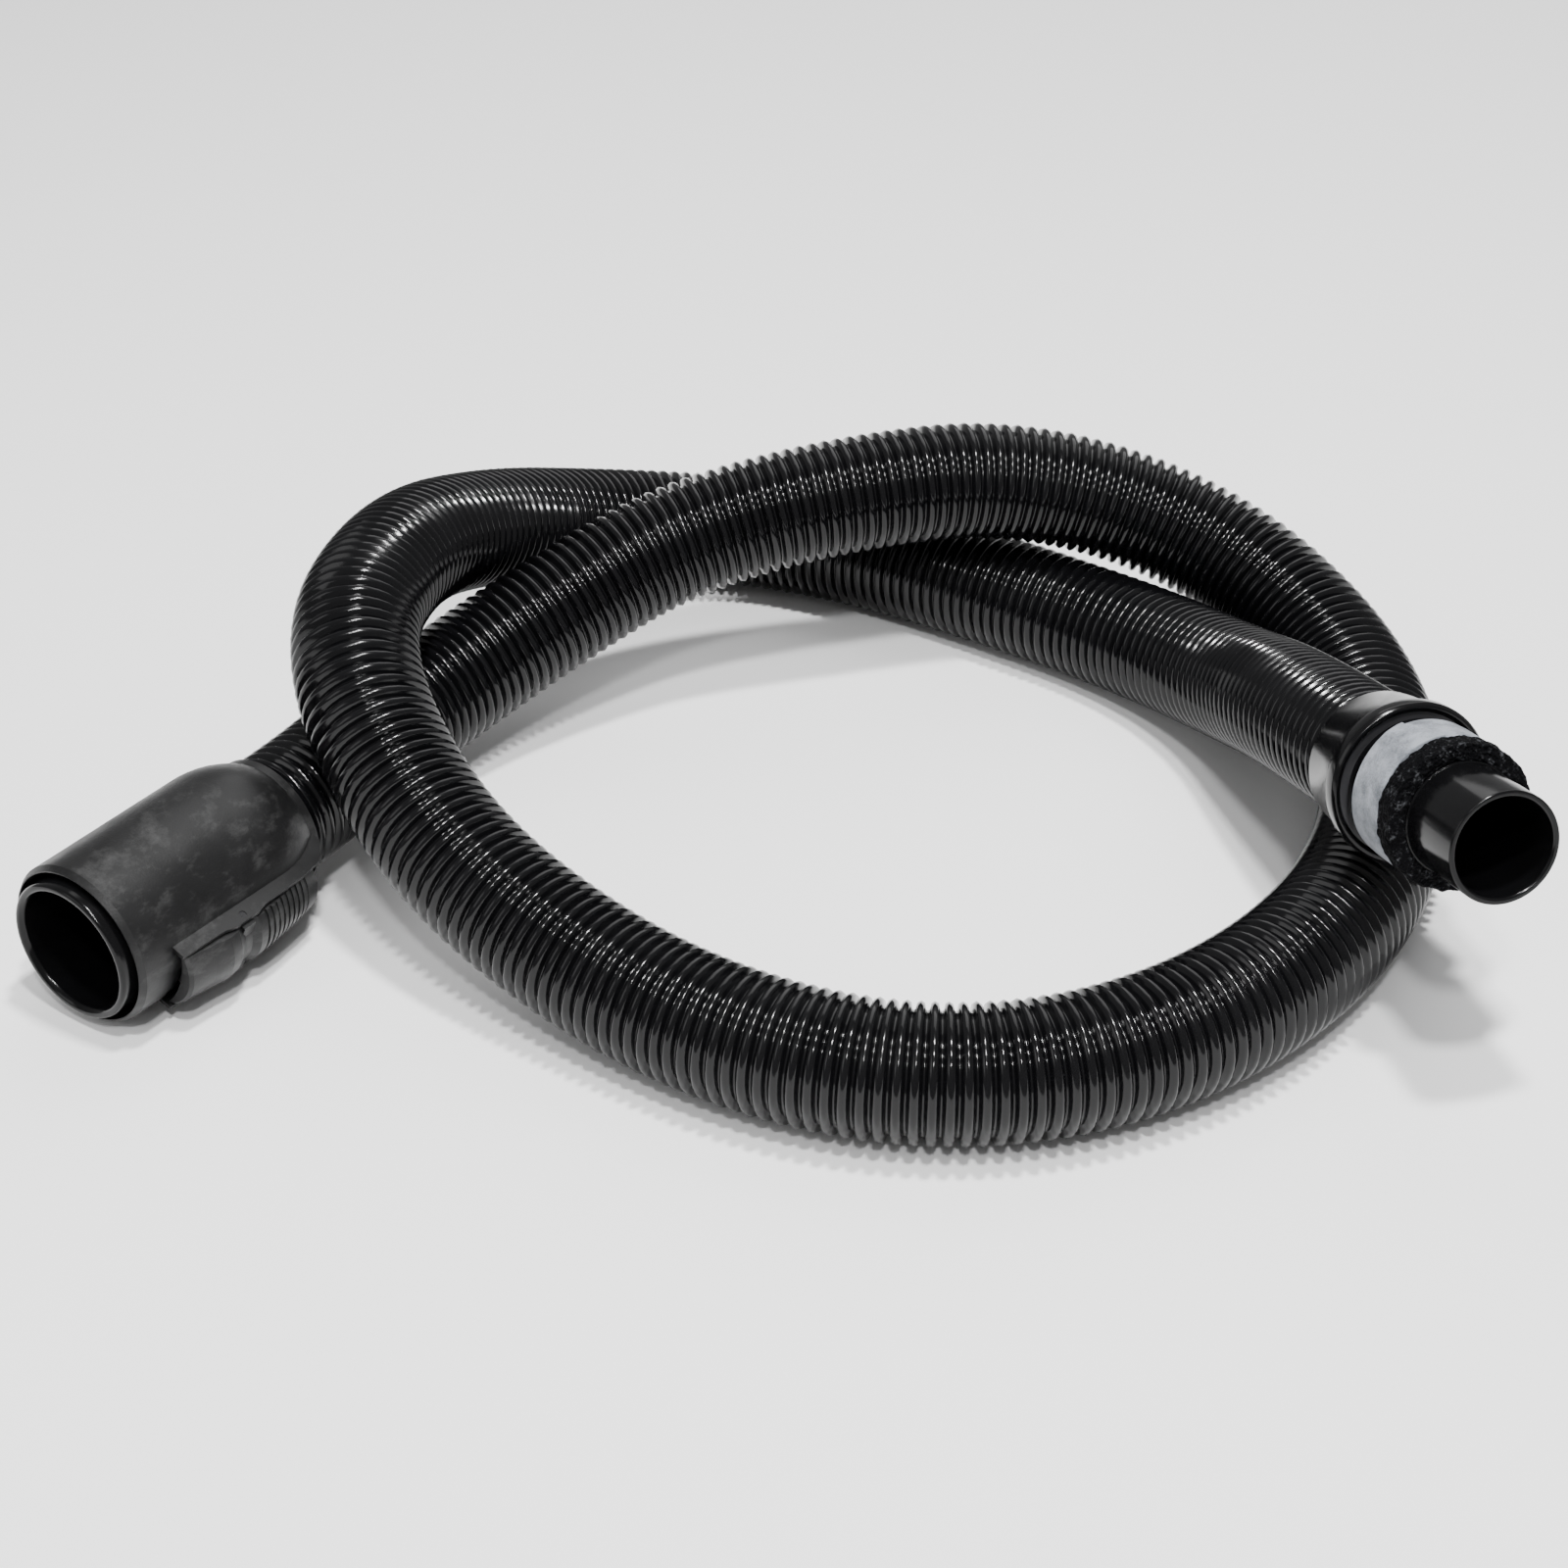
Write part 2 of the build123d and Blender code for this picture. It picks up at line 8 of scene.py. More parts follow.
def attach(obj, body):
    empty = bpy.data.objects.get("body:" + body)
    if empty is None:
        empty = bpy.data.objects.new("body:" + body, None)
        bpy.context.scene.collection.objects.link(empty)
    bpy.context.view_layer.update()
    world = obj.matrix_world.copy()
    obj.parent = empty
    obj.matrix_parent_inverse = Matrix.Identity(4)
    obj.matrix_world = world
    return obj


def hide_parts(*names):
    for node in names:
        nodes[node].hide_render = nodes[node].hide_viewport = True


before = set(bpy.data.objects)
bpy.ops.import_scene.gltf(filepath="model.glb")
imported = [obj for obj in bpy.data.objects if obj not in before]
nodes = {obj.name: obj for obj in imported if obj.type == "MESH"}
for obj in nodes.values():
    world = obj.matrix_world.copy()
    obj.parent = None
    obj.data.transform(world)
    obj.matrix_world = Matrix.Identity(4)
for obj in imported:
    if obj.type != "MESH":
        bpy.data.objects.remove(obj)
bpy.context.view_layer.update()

# ---- camera ------------------------------------------------------------------------------
# Half a metre up and a step back, looking down on the coil over its front loop.
bpy.ops.object.select_all(action="DESELECT")
bpy.ops.object.camera_add(location=(0.0083, -0.7200, 0.5427), rotation=(radians(56.96), 0, 0))
camera = bpy.context.object
camera.name = "studio_camera"
camera.data.sensor_width = 36
camera.data.lens = 64.3
camera.data.clip_start = 0.01
bpy.context.scene.camera = camera

# ---- hose --------------------------------------------------------------------------------
# One length of glossy black corrugated plastic tube, 1.7 m long and 43 mm over the ribs. It
# is screwed into the cuff of the machine connector, crosses itself three times and ends in
# the collar of the tool fitting. It's drawn as one rib, repeated and laid along the route.
hose_points = [
    (-0.1792, 0.0229, 0.0283), (-0.1544, 0.0586, 0.0283), (-0.1337, 0.1010, 0.0280),
    (-0.1077, 0.1350, 0.0320), (-0.0727, 0.1620, 0.0450), (-0.0317, 0.1860, 0.0600),
    (0.0263, 0.2000, 0.0710), (0.0953, 0.2180, 0.0710), (0.1683, 0.2085, 0.0500),
    (0.2123, 0.1565, 0.0275), (0.2163, 0.0800, 0.0215), (0.1913, 0.0070, 0.0215),
    (0.1423, -0.0490, 0.0215), (0.0803, -0.0780, 0.0215), (0.0163, -0.0720, 0.0215),
    (-0.0457, -0.0330, 0.0215), (-0.1057, 0.0170, 0.0420), (-0.1387, 0.0780, 0.0770),
    (-0.1277, 0.1480, 0.0770), (-0.1017, 0.2070, 0.0550), (-0.0670, 0.2520, 0.0320),
    (-0.0180, 0.2690, 0.0215), (0.0370, 0.2510, 0.0215), (0.0930, 0.2150, 0.0215),
    (0.1410, 0.1785, 0.0215), (0.1695, 0.1320, 0.0310), (0.1813, 0.0703, 0.0567),
    (0.1980, 0.0084, 0.0724),
]
route_steps = 40                     # between two points of the route
hose_curve = bpy.data.curves.new("hose_route", "CURVE")
hose_curve.dimensions = "3D"
hose_curve.resolution_u = route_steps
hose_spline = hose_curve.splines.new("NURBS")
hose_spline.points.add(len(hose_points) - 1)
for spline_point, place in zip(hose_spline.points, hose_points):
    spline_point.co = (*place, 1)
hose_spline.order_u = 3
hose_spline.use_endpoint_u = True
hose_spline.resolution_u = route_steps
hose_route = bpy.data.objects.new("hose_route", hose_curve)
bpy.context.collection.objects.link(hose_route)
route_line = bpy.data.meshes.new_from_object(hose_route)
hose_path = [tuple(v.co) for v in route_line.vertices]
hose_length = sum((Vector(b) - Vector(a)).length for a, b in zip(hose_path, hose_path[1:]))

rib_count = 374
rib_pitch = hose_length / rib_count
rib_facets = 38
valley_r = 0.01860
flank_foot_r = 0.01900
flank_top_r = 0.02085
crest_r = 0.02150
hose_bore_r = 0.0180
bore_facets = 20
rib_profile = [                      # place along one pitch, radius
    (0.00, valley_r), (0.13, flank_foot_r), (0.23, flank_top_r),
    (0.50, crest_r), (0.77, flank_top_r), (0.87, flank_foot_r), (1.00, valley_r),
]
bpy.ops.object.select_all(action="DESELECT")
bpy.ops.mesh.primitive_circle_add(
    vertices=rib_facets, radius=valley_r, rotation=(0, radians(90), 0), fill_type="NOTHING"
)
hose = bpy.context.object
hose.name = "corrugated_hose"
bpy.ops.object.transform_apply(location=True, rotation=True, scale=True)
bpy.ops.object.mode_set(mode="EDIT")
bpy.ops.mesh.select_all(action="SELECT")
for (here, here_r), (there, there_r) in zip(rib_profile, rib_profile[1:]):
    bpy.ops.mesh.extrude_edges_move(
        TRANSFORM_OT_translate={"value": ((there - here) * rib_pitch, 0, 0)}
    )
    widening = there_r / here_r
    bpy.ops.transform.resize(
        value=(1, widening, widening), center_override=(there * rib_pitch, 0, 0)
    )
bpy.ops.mesh.select_all(action="SELECT")
bpy.ops.mesh.normals_make_consistent(inside=False)
bpy.ops.mesh.select_all(action="DESELECT")
bpy.ops.mesh.primitive_cylinder_add(
    vertices=bore_facets, radius=hose_bore_r, depth=rib_pitch, end_fill_type="NOTHING",
    location=(rib_pitch / 2, 0, 0), rotation=(0, radians(90), 0),
)
bpy.ops.mesh.flip_normals()
bpy.ops.object.mode_set(mode="OBJECT")
ribs = hose.modifiers.new("ribs", "ARRAY")
ribs.count = rib_count
ribs.use_relative_offset = False
ribs.use_constant_offset = True
ribs.constant_offset_displace = (rib_pitch, 0, 0)
ribs.use_merge_vertices = True
ribs.merge_threshold = 0.00002
lay = hose.modifiers.new("lay", "CURVE")
lay.object = hose_route
lay.deform_axis = "POS_X"
bpy.ops.object.modifier_apply(modifier="ribs")
bpy.ops.object.modifier_apply(modifier="lay")
bpy.ops.object.shade_smooth()
bpy.data.objects.remove(hose_route)


def moulded_surface():
    """Node group: the fine unevenness of a finish, as colour, roughness and normal."""
    group = bpy.data.node_groups.new("moulded_surface", "ShaderNodeTree")
    face = group.interface
    face.new_socket("Dark", in_out="INPUT", socket_type="NodeSocketColor")
    face.new_socket("Light", in_out="INPUT", socket_type="NodeSocketColor")
    face.new_socket("Smooth", in_out="INPUT", socket_type="NodeSocketFloat")
    face.new_socket("Dull", in_out="INPUT", socket_type="NodeSocketFloat")
    face.new_socket("Cloud Scale", in_out="INPUT", socket_type="NodeSocketFloat")
    face.new_socket("Grain Scale", in_out="INPUT", socket_type="NodeSocketFloat")
    face.new_socket("Grain Depth", in_out="INPUT", socket_type="NodeSocketFloat")
    face.new_socket("Base Color", in_out="OUTPUT", socket_type="NodeSocketColor")
    face.new_socket("Roughness", in_out="OUTPUT", socket_type="NodeSocketFloat")
    face.new_socket("Normal", in_out="OUTPUT", socket_type="NodeSocketVector")
    given = group.nodes.new("NodeGroupInput")
    made = group.nodes.new("NodeGroupOutput")
    place = group.nodes.new("ShaderNodeTexCoord")
    clouds = group.nodes.new("ShaderNodeTexNoise")
    clouds.inputs["Detail"].default_value = 5
    clouds.inputs["Roughness"].default_value = 0.6
    grain = group.nodes.new("ShaderNodeTexNoise")
    grain.inputs["Detail"].default_value = 3
    tone = group.nodes.new("ShaderNodeMix")
    tone.data_type = "RGBA"
    gloss = group.nodes.new("ShaderNodeMapRange")
    gloss.inputs["From Min"].default_value = 0.35
    gloss.inputs["From Max"].default_value = 0.68
    bump = group.nodes.new("ShaderNodeBump")
    bump.inputs["Distance"].default_value = 0.0002
    join = group.links.new
    join(place.outputs["Object"], clouds.inputs["Vector"])
    join(place.outputs["Object"], grain.inputs["Vector"])
    join(given.outputs["Cloud Scale"], clouds.inputs["Scale"])
    join(given.outputs["Grain Scale"], grain.inputs["Scale"])
    join(clouds.outputs["Fac"], tone.inputs["Factor"])
    join(given.outputs["Dark"], tone.inputs["A"])
    join(given.outputs["Light"], tone.inputs["B"])
    join(clouds.outputs["Fac"], gloss.inputs["Value"])
    join(given.outputs["Smooth"], gloss.inputs["To Min"])
    join(given.outputs["Dull"], gloss.inputs["To Max"])
    join(grain.outputs["Fac"], bump.inputs["Height"])
    join(given.outputs["Grain Depth"], bump.inputs["Strength"])
    join(tone.outputs["Result"], made.inputs["Base Color"])
    join(gloss.outputs["Result"], made.inputs["Roughness"])
    join(bump.outputs["Normal"], made.inputs["Normal"])
    return group


surface_group = moulded_surface()


def grained_finish(name, dark, light, smooth, dull, cloud, grain, depth, shine):
    """A plastic, rubber or steel that takes its unevenness from the shared group. Cloud and
    grain say how fine its two patterns are, depth how deep the grain is, and shine how
    strongly it reflects."""
    material = bpy.data.materials.new(name)
    material.use_nodes = True
    shader = material.node_tree.nodes["Principled BSDF"]
    shader.inputs["Specular IOR Level"].default_value = shine
    skin = material.node_tree.nodes.new("ShaderNodeGroup")
    skin.node_tree = surface_group
    skin.inputs["Dark"].default_value = (*dark, 1)
    skin.inputs["Light"].default_value = (*light, 1)
    skin.inputs["Smooth"].default_value = smooth
    skin.inputs["Dull"].default_value = dull
    skin.inputs["Cloud Scale"].default_value = cloud
    skin.inputs["Grain Scale"].default_value = grain
    skin.inputs["Grain Depth"].default_value = depth
    for socket in ("Base Color", "Roughness", "Normal"):
        material.node_tree.links.new(skin.outputs[socket], shader.inputs[socket])
    return material


hose_plastic = grained_finish(
    "hose_plastic", dark=(0.0015, 0.0015, 0.0018), light=(0.004, 0.004, 0.0046),
    smooth=0.09, dull=0.19, cloud=45, grain=900, depth=0.06, shine=0.27,
)
hose.data.materials.clear()
hose.data.materials.append(hose_plastic)
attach(hose, "hose_line")
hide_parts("hose")

# ---- floor and light ---------------------------------------------------------------------
# A plain white floor. One large soft box stands behind and a smaller one on the left, and
# three small lamps above draw the narrow glints on the ribs.
bpy.ops.object.select_all(action="DESELECT")
bpy.ops.mesh.primitive_plane_add(size=9, location=(0, 1.0, -0.0004))
floor = bpy.context.object
floor.name = "floor"
floor_paint = bpy.data.materials.new("floor_paint")
floor_paint.use_nodes = True
floor_shader = floor_paint.node_tree.nodes["Principled BSDF"]
floor_shader.inputs["Base Color"].default_value = (0.95, 0.95, 0.95, 1)
floor_shader.inputs["Roughness"].default_value = 0.85
floor.data.materials.append(floor_paint)
for light_name, spot, aim, size, power in (
    ("rear_softbox", (0.35, 1.50, 1.50), (0.0, 0.05, 0.0), 1.60, 16),
    ("left_softbox", (-1.30, -0.70, 0.95), (0.0, 0.0, 0.03), 0.80, 4),
    ("key_lamp", (0.18, -0.05, 1.70), (0.0, 0.05, 0.03), 0.15, 34),
    ("second_lamp", (0.12, -0.62, 1.62), (0.0, 0.05, 0.03), 0.13, 24),
    ("low_lamp", (0.02, -1.10, 1.45), (0.0, 0.05, 0.03), 0.12, 12),
):
    bpy.ops.object.light_add(type="AREA", location=spot)
    lamp = bpy.context.object
    lamp.name = light_name
    lamp.data.shape = "SQUARE"
    lamp.data.size = size
    lamp.data.energy = power
    lamp.rotation_euler = (Vector(aim) - Vector(spot)).to_track_quat("-Z", "Y").to_euler()
world = bpy.data.worlds.new("studio")
world.use_nodes = True
world.node_tree.nodes["Background"].inputs["Color"].default_value = (1, 1, 1, 1)
world.node_tree.nodes["Background"].inputs["Strength"].default_value = 0.40
bpy.context.scene.world = world

# ---- machine connector: mouth tube -------------------------------------------------------
# A glossy black tube, bonded into the front of the sleeve by its thick rear part. Its rounded
# rim stands a little out of the sleeve and slides over the machine's round port.
machine_mouth = Vector((-0.2123, -0.0247, 0.0283))
machine_turn = radians(55.2)
machine_along = Vector((cos(machine_turn), sin(machine_turn), 0))
machine_side = Vector((sin(machine_turn), -cos(machine_turn), 0))
mouth_bore_r = 0.0205
mouth_r = 0.02374
mouth_seat_r = 0.02594               # the thick rear part, bonded in the sleeve
mouth_seat_from = 0.0335
mouth_tube_length = 0.0460


def turned_ring(name, outline, rounding, mouth, along, side, facets=128):
    """A ring turned from a closed outline of (place along the axis, radius), with rounded
    edges, set on the axis of its fitting. It's left active and selected."""
    bpy.ops.object.select_all(action="DESELECT")
    start, start_r = outline[0]
    bpy.ops.mesh.primitive_circle_add(vertices=facets, radius=start_r, location=(0, 0, start))
    ring = bpy.context.object
    ring.name = name
    bpy.ops.object.transform_apply(location=True, rotation=True, scale=True)
    bpy.ops.object.mode_set(mode="EDIT")
    bpy.ops.mesh.select_all(action="SELECT")
    for (here, here_r), (there, there_r) in zip(outline, outline[1:] + outline[:1]):
        bpy.ops.mesh.extrude_edges_move(TRANSFORM_OT_translate={"value": (0, 0, there - here)})
        bpy.ops.transform.resize(
            value=(there_r / here_r, there_r / here_r, 1), center_override=(0, 0, there)
        )
    bpy.ops.mesh.select_all(action="SELECT")
    bpy.ops.mesh.remove_doubles(threshold=0.000005)
    bpy.ops.mesh.normals_make_consistent(inside=False)
    bpy.ops.object.mode_set(mode="OBJECT")
    edges = ring.modifiers.new("rounded_edges", "BEVEL")
    edges.width = rounding
    edges.segments = 3
    edges.limit_method = "ANGLE"
    edges.angle_limit = radians(25)
    bpy.ops.object.modifier_apply(modifier="rounded_edges")
    bpy.ops.object.shade_smooth_by_angle(angle=radians(35))
    seat = Matrix((side, along.cross(side), along)).transposed().to_4x4()
    seat.translation = mouth
    ring.matrix_world = seat
    bpy.ops.object.transform_apply(location=True, rotation=True, scale=True)
    return ring


mouth_tube = turned_ring(
    "mouth_rim_tube",
    [
        (0.0000, 0.0216), (0.0000, 0.0230), (0.0008, 0.02372), (0.0200, mouth_r),
        (mouth_seat_from, mouth_r), (mouth_seat_from, mouth_seat_r),
        (mouth_tube_length, mouth_seat_r), (mouth_tube_length, mouth_bore_r),
        (0.0200, mouth_bore_r), (0.0016, mouth_bore_r),
    ],
    0.0005, machine_mouth, machine_along, machine_side,
)
gloss_plastic = grained_finish(
    "gloss_plastic", dark=(0.0015, 0.0015, 0.0017), light=(0.004, 0.004, 0.0044),
    smooth=0.12, dull=0.20, cloud=60, grain=700, depth=0.04, shine=0.21,
)
mouth_tube.data.materials.append(gloss_plastic)
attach(mouth_tube, "connector")
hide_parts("mouth_tube")

# ---- machine connector: outer sleeve -----------------------------------------------------
# The satin grip, moulded in one with the two rails that carry the latch. Hands have rubbed it
# to a duller, greyer black in places.
satin_plastic = grained_finish(
    "satin_plastic", dark=(0.004, 0.004, 0.004), light=(0.011, 0.011, 0.0115),
    smooth=0.33, dull=0.50, cloud=38, grain=1500, depth=0.25, shine=0.26,
)
rubbed = satin_plastic.node_tree
scuff_place = rubbed.nodes.new("ShaderNodeTexCoord")
scuff_stretch = rubbed.nodes.new("ShaderNodeMapping")
scuff_stretch.inputs["Scale"].default_value = (1.0, 1.0, 2.2)
scuff_stretch.inputs["Rotation"].default_value = (0, 0, radians(33.6))
scuff_clouds = rubbed.nodes.new("ShaderNodeTexNoise")
scuff_clouds.inputs["Scale"].default_value = 55
scuff_clouds.inputs["Detail"].default_value = 8
scuff_clouds.inputs["Roughness"].default_value = 0.72
scuff_edge = rubbed.nodes.new("ShaderNodeMapRange")
scuff_edge.inputs["From Min"].default_value = 0.50
scuff_edge.inputs["From Max"].default_value = 0.68
scuff_edge.inputs["To Max"].default_value = 0.55
scuff_mix = rubbed.nodes.new("ShaderNodeMix")
scuff_mix.data_type = "RGBA"
scuff_mix.inputs["B"].default_value = (0.055, 0.055, 0.055, 1)
sleeve_shader = rubbed.nodes["Principled BSDF"]
sleeve_skin = sleeve_shader.inputs["Base Color"].links[0].from_node
rubbed.links.new(scuff_place.outputs["Object"], scuff_stretch.inputs["Vector"])
rubbed.links.new(scuff_stretch.outputs["Vector"], scuff_clouds.inputs["Vector"])
rubbed.links.new(scuff_clouds.outputs["Fac"], scuff_edge.inputs["Value"])
rubbed.links.new(scuff_edge.outputs["Result"], scuff_mix.inputs["Factor"])
rubbed.links.new(sleeve_skin.outputs["Base Color"], scuff_mix.inputs["A"])
rubbed.links.new(scuff_mix.outputs["Result"], sleeve_shader.inputs["Base Color"])


def moulded_piece(node_name, rounding, finish):
    """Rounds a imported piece's edges a little and gives it its finish."""
    piece = nodes[node_name]
    edges = piece.modifiers.new("moulded_edges", "BEVEL")
    edges.width = rounding
    edges.segments = 2
    edges.limit_method = "ANGLE"
    edges.angle_limit = radians(40)
    for material_slot in piece.material_slots:
        material_slot.material = finish


moulded_piece("connector_sleeve", 0.0004, satin_plastic)

# ---- machine connector: seals, cuff and retaining ring -----------------------------------
# The hose is screwed into a plain black cuff that turns in the sleeve on an O-ring. A split
# ring in a groove holds it there, and a rubber ring closes the groove round the mouth.
seal_rubber = grained_finish(
    "seal_rubber", dark=(0.004, 0.004, 0.004), light=(0.010, 0.010, 0.010),
    smooth=0.45, dull=0.65, cloud=120, grain=2200, depth=0.35, shine=0.3,
)
cuff_plastic = grained_finish(
    "cuff_plastic", dark=(0.003, 0.003, 0.003), light=(0.009, 0.009, 0.009),
    smooth=0.40, dull=0.55, cloud=60, grain=1500, depth=0.15, shine=0.25,
)
ring_plastic = grained_finish(
    "ring_plastic", dark=(0.020, 0.020, 0.022), light=(0.042, 0.042, 0.045),
    smooth=0.28, dull=0.40, cloud=80, grain=1800, depth=0.12, shine=0.4,
)
for node_name, finish in (
    ("mouth_seal", seal_rubber), ("swivel_seal", seal_rubber),
    ("hose_cuff", cuff_plastic), ("cuff_retaining_ring", ring_plastic),
):
    for material_slot in nodes[node_name].material_slots:
        material_slot.material = finish

# ---- latch: lever, pin and spring --------------------------------------------------------
# A rocker in the same satin plastic, smooth in front and ribbed behind, on a steel pin through
# both rails. The coil spring under the ribbed end pushes it back up.
moulded_piece("latch_lever", 0.00022, satin_plastic)
spring_steel = grained_finish(
    "spring_steel", dark=(0.42, 0.42, 0.43), light=(0.60, 0.60, 0.61),
    smooth=0.22, dull=0.38, cloud=200, grain=3000, depth=0.1, shine=0.5,
)
pin_steel = grained_finish(
    "pin_steel", dark=(0.020, 0.020, 0.021), light=(0.050, 0.050, 0.052),
    smooth=0.22, dull=0.38, cloud=200, grain=3000, depth=0.1, shine=0.5,
)
for steel in (spring_steel, pin_steel):
    steel.node_tree.nodes["Principled BSDF"].inputs["Metallic"].default_value = 1
for node_name, finish in (("latch_spring", spring_steel), ("latch_pin", pin_steel)):
    for material_slot in nodes[node_name].material_slots:
        material_slot.material = finish

# ---- tool fitting: collar ----------------------------------------------------------------
# A glossy tapered collar with a rounded lip. The hose is screwed into its rear, and the spigot
# turns in the shallow socket in its front.
tool_lip = Vector((0.2005, -0.0010, 0.0748))
tool_turn = radians(-74.9)
tool_tilt = radians(13.8)
tool_along = Vector((
    cos(tool_turn) * cos(tool_tilt), sin(tool_turn) * cos(tool_tilt), sin(tool_tilt),
))
tool_side = Vector((-sin(tool_turn), cos(tool_turn), 0))
collar_rear = -0.0250
collar_floor = -0.0084               # of the socket in front
collar_web_rear = -0.0100
collar_hose_r = 0.0216
collar_socket_r = 0.0229
collar_groove_r = 0.02365            # holds the split ring
collar_bore_r = 0.0186
collar_lip_r = 0.0261
collar = turned_ring(
    "spigot_collar",
    [
        (collar_rear, collar_hose_r), (collar_rear, 0.0224), (-0.0243, 0.0229),
        (-0.0080, 0.0248), (-0.0062, 0.0257), (-0.0050, collar_lip_r), (-0.0012, collar_lip_r),
        (0.0, 0.0252), (0.0, 0.0240), (-0.0016, collar_socket_r), (-0.00165, collar_groove_r),
        (-0.00325, collar_groove_r), (-0.0033, collar_socket_r), (collar_floor, collar_socket_r),
        (collar_floor, collar_bore_r), (collar_web_rear, collar_bore_r),
        (collar_web_rear, collar_hose_r),
    ],
    0.0003, tool_lip, tool_along, tool_side,
)
collar.data.materials.append(gloss_plastic)
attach(collar, "hose_line")
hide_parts("tool_collar")

# ---- tool fitting: spigot, its seal and its retaining ring -------------------------------
# A glossy tube with a thick hub. It pushes into a wand or a floor head, and its flange turns
# on an O-ring inside the collar, behind a dark grey split ring.
spigot_bore_r = 0.0155
spigot_r = 0.0175
spigot_foam_seat_r = 0.0179
spigot_neck_r = 0.0188
spigot_groove_r = 0.0203             # under the O-ring
hub_r = 0.0216
spigot_flange_r = 0.0224
flange_rear, groove_rear, groove_front, flange_front = -0.0078, -0.00680, -0.00460, -0.0036
hub_rear, hub_front, foam_seat_front, spigot_tip = 0.0008, 0.0234, 0.0322, 0.0587
spigot = turned_ring(
    "slim_spigot",
    [
        (flange_rear, spigot_bore_r), (flange_rear, spigot_flange_r),
        (groove_rear, spigot_flange_r), (groove_rear, spigot_groove_r),
        (groove_front, spigot_groove_r), (groove_front, spigot_flange_r),
        (flange_front, spigot_flange_r), (flange_front, spigot_neck_r),
        (hub_rear, spigot_neck_r), (hub_rear, hub_r),
        (hub_front, hub_r), (hub_front, spigot_foam_seat_r),
        (foam_seat_front, spigot_foam_seat_r), (foam_seat_front, spigot_r),
        (0.0400, spigot_r), (0.0583, spigot_r), (spigot_tip, 0.0172), (spigot_tip, 0.0160),
        (0.0582, spigot_bore_r), (0.0300, spigot_bore_r),
    ],
    0.00012, tool_lip, tool_along, tool_side,
)
spigot.data.materials.append(gloss_plastic)
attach(spigot, "spigot")
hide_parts("spigot_tube")
for node_name, finish in (("spigot_seal", seal_rubber), ("spigot_retaining_ring", ring_plastic)):
    for material_slot in nodes[node_name].material_slots:
        material_slot.material = finish

# ---- tool fitting: felt band -------------------------------------------------------------
# A strip of light grey felt, glued round the hub. Its ends overlap, so there is a step where
# the outer end stops, and its edges aren't cut quite straight.
felt_rear = 0.0060
felt_front = 0.0233
felt_in_r = 0.02166
felt_edge_r = 0.0229
felt_r = 0.0231
felt = turned_ring(
    "grey_felt_band",
    [
        (felt_rear, felt_in_r), (felt_rear, felt_edge_r), (0.0100, felt_r), (0.0150, felt_r),
        (0.0200, felt_r), (felt_front, felt_edge_r), (felt_front, felt_in_r),
    ],
    0.0003, tool_lip, tool_along, tool_side,
)
felt_finer = felt.modifiers.new("finer", "SUBSURF")
felt_finer.subdivision_type = "SIMPLE"
felt_finer.levels = 1
bpy.ops.object.modifier_apply(modifier="finer")
flap_lift = 0.0009                   # how far the outer end stands off
flap_run = 0.010                     # it rises over this
flap_from = -0.0212
flap_end = -0.0035                   # where it stops, at the middle of the band
flap_slant = 0.30
flap_above = 0.004                   # it's only on the upper side
felt_middle = 0.0146
felt_skin_r = 0.0222                 # what lies outside this is the outer face
edge_wander = 0.00035                # how unevenly the rear edge is cut
edge_to = 0.013
for corner in felt.data.vertices:
    from_lip = corner.co - tool_lip
    along_felt = from_lip.dot(tool_along)
    outward = from_lip - tool_along * along_felt
    turn_right = outward.dot(tool_side)
    turn_up = outward.dot(tool_along.cross(tool_side))
    rise = min(1, max(0, (turn_right - flap_from) / flap_run))
    outer_face = outward.length > felt_skin_r and turn_up > flap_above
    if outer_face and turn_right < flap_end + flap_slant * (along_felt - felt_middle):
        corner.co += outward.normalized() * flap_lift * rise
    if along_felt < edge_to:
        wander = sin(3.0 * turn_up / hub_r + 1.0) + 0.6 * sin(7.0 * turn_right / hub_r)
        corner.co += tool_along * edge_wander * wander
felt_wool = bpy.data.materials.new("felt")
felt_wool.use_nodes = True
felt_shader = felt_wool.node_tree.nodes["Principled BSDF"]
felt_shader.inputs["Roughness"].default_value = 0.95
felt_shader.inputs["Sheen Weight"].default_value = 0.15
felt_place = felt_wool.node_tree.nodes.new("ShaderNodeTexCoord")
felt_fibres = felt_wool.node_tree.nodes.new("ShaderNodeTexNoise")
felt_fibres.inputs["Scale"].default_value = 900
felt_fibres.inputs["Detail"].default_value = 8
felt_fibres.inputs["Roughness"].default_value = 0.75
felt_fibres.inputs["Distortion"].default_value = 1.5
felt_dirt = felt_wool.node_tree.nodes.new("ShaderNodeTexNoise")
felt_dirt.inputs["Scale"].default_value = 130
felt_dirt.inputs["Detail"].default_value = 5
felt_tone = felt_wool.node_tree.nodes.new("ShaderNodeMix")
felt_tone.data_type = "RGBA"
felt_tone.inputs["A"].default_value = (0.060, 0.068, 0.080, 1)
felt_tone.inputs["B"].default_value = (0.25, 0.268, 0.30, 1)
felt_mottle = felt_wool.node_tree.nodes.new("ShaderNodeMath")
felt_mottle.operation = "ADD"
felt_spread = felt_wool.node_tree.nodes.new("ShaderNodeMapRange")
felt_spread.inputs["From Min"].default_value = 0.75
felt_spread.inputs["From Max"].default_value = 1.15
felt_nap = felt_wool.node_tree.nodes.new("ShaderNodeBump")
felt_nap.inputs["Strength"].default_value = 0.7
felt_nap.inputs["Distance"].default_value = 0.0004
felt_join = felt_wool.node_tree.links.new
felt_join(felt_place.outputs["Object"], felt_fibres.inputs["Vector"])
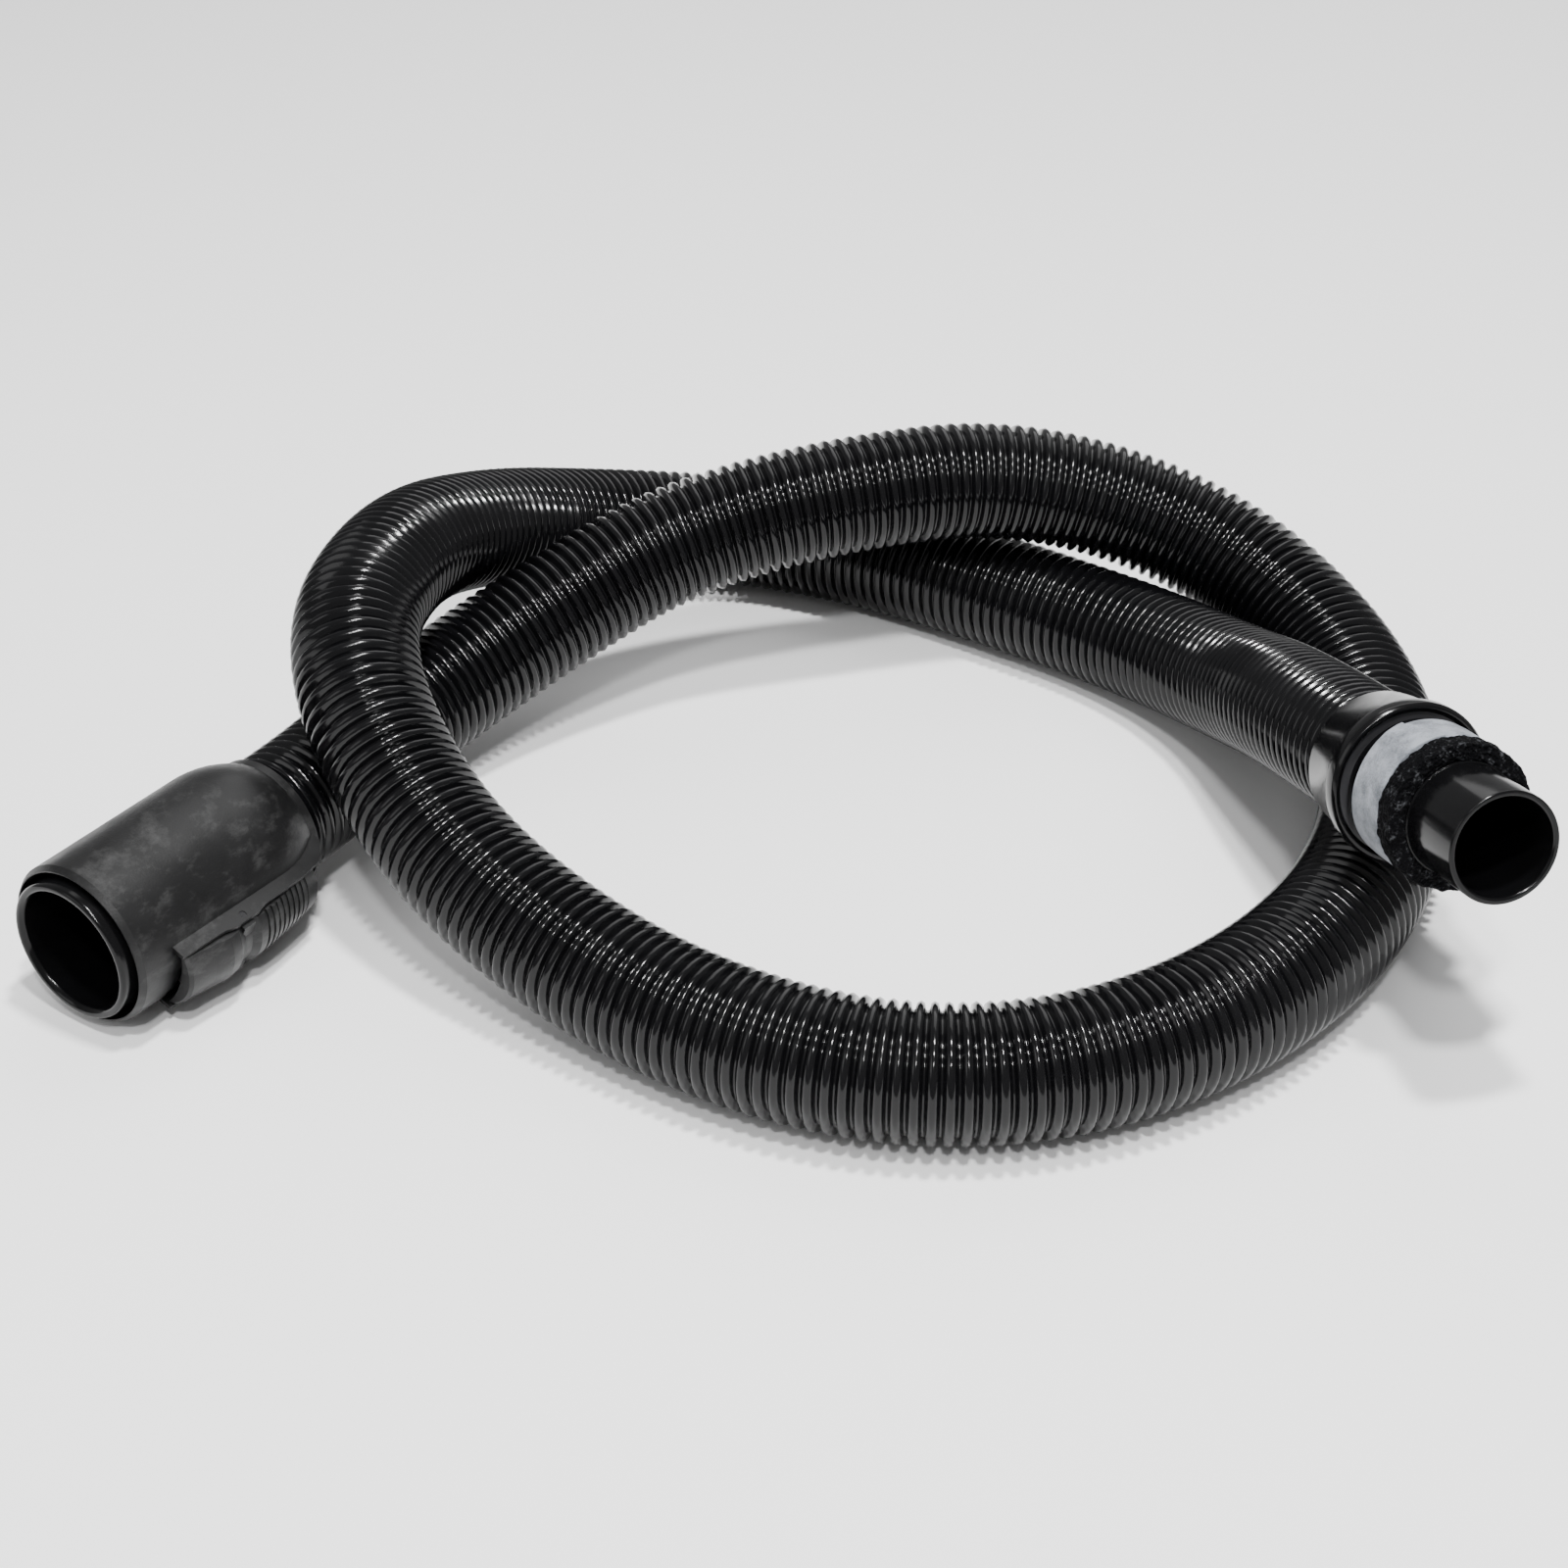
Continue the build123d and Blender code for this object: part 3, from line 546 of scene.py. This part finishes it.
felt_join(felt_place.outputs["Object"], felt_dirt.inputs["Vector"])
felt_join(felt_fibres.outputs["Fac"], felt_mottle.inputs[0])
felt_join(felt_dirt.outputs["Fac"], felt_mottle.inputs[1])
felt_join(felt_mottle.outputs["Value"], felt_spread.inputs["Value"])
felt_join(felt_spread.outputs["Result"], felt_tone.inputs["Factor"])
felt_join(felt_tone.outputs["Result"], felt_shader.inputs["Base Color"])
felt_join(felt_fibres.outputs["Fac"], felt_nap.inputs["Height"])
felt_join(felt_nap.outputs["Normal"], felt_shader.inputs["Normal"])
felt.data.materials.append(felt_wool)
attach(felt, "spigot")
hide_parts("felt_band")

# ---- tool fitting: foam gasket -----------------------------------------------------------
# A ring of open-cell foam against the front of the hub. It seals against the wand, and its
# cut faces are coarse and a little torn.
foam_rear = 0.0235
foam_front = 0.0321
foam_in_r = 0.01795
foam_r = 0.0234
foam = turned_ring(
    "foam_gasket_ring",
    [
        (foam_rear, foam_in_r), (foam_rear, 0.0205), (foam_rear, 0.0229), (0.0240, 0.0233),
        (0.0262, foam_r), (0.0285, foam_r), (0.0309, foam_r), (0.0318, 0.0231),
        (foam_front, 0.0210), (foam_front, 0.0186), (0.0320, foam_in_r), (0.0312, foam_in_r),
    ],
    0.0002, tool_lip, tool_along, tool_side, facets=160,
)
foam_finer = foam.modifiers.new("finer", "SUBSURF")
foam_finer.levels = 1
foam_torn = bpy.data.textures.new("torn_foam", "CLOUDS")
foam_torn.noise_scale = 0.0032
foam_torn.noise_depth = 4
foam_rough = foam.modifiers.new("torn", "DISPLACE")
foam_rough.texture = foam_torn
foam_rough.texture_coords = "LOCAL"
foam_rough.strength = 0.0018
foam_rough.mid_level = 0.60
bpy.ops.object.modifier_apply(modifier="finer")
bpy.ops.object.modifier_apply(modifier="torn")
foam_cells = bpy.data.materials.new("foam")
foam_cells.use_nodes = True
foam_shader = foam_cells.node_tree.nodes["Principled BSDF"]
foam_shader.inputs["Roughness"].default_value = 0.85
foam_shader.inputs["Specular IOR Level"].default_value = 0.06
foam_place = foam_cells.node_tree.nodes.new("ShaderNodeTexCoord")
foam_pores = foam_cells.node_tree.nodes.new("ShaderNodeTexVoronoi")
foam_pores.inputs["Scale"].default_value = 950
foam_specks = foam_cells.node_tree.nodes.new("ShaderNodeTexNoise")
foam_specks.inputs["Scale"].default_value = 420
foam_specks.inputs["Detail"].default_value = 7
foam_specks.inputs["Roughness"].default_value = 0.8
foam_tone = foam_cells.node_tree.nodes.new("ShaderNodeValToRGB")
foam_tone.color_ramp.elements[0].position = 0.54
foam_tone.color_ramp.elements[0].color = (0.0015, 0.0015, 0.002, 1)
foam_tone.color_ramp.elements[1].position = 0.72
foam_tone.color_ramp.elements[1].color = (0.085, 0.088, 0.095, 1)
foam_relief = foam_cells.node_tree.nodes.new("ShaderNodeBump")
foam_relief.inputs["Strength"].default_value = 1.0
foam_relief.inputs["Distance"].default_value = 0.0008
foam_join = foam_cells.node_tree.links.new
foam_join(foam_place.outputs["Object"], foam_pores.inputs["Vector"])
foam_join(foam_place.outputs["Object"], foam_specks.inputs["Vector"])
foam_join(foam_specks.outputs["Fac"], foam_tone.inputs["Fac"])
foam_join(foam_tone.outputs["Color"], foam_shader.inputs["Base Color"])
foam_join(foam_pores.outputs["Distance"], foam_relief.inputs["Height"])
foam_join(foam_relief.outputs["Normal"], foam_shader.inputs["Normal"])
foam.data.materials.append(foam_cells)
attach(foam, "spigot")
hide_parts("foam_gasket")
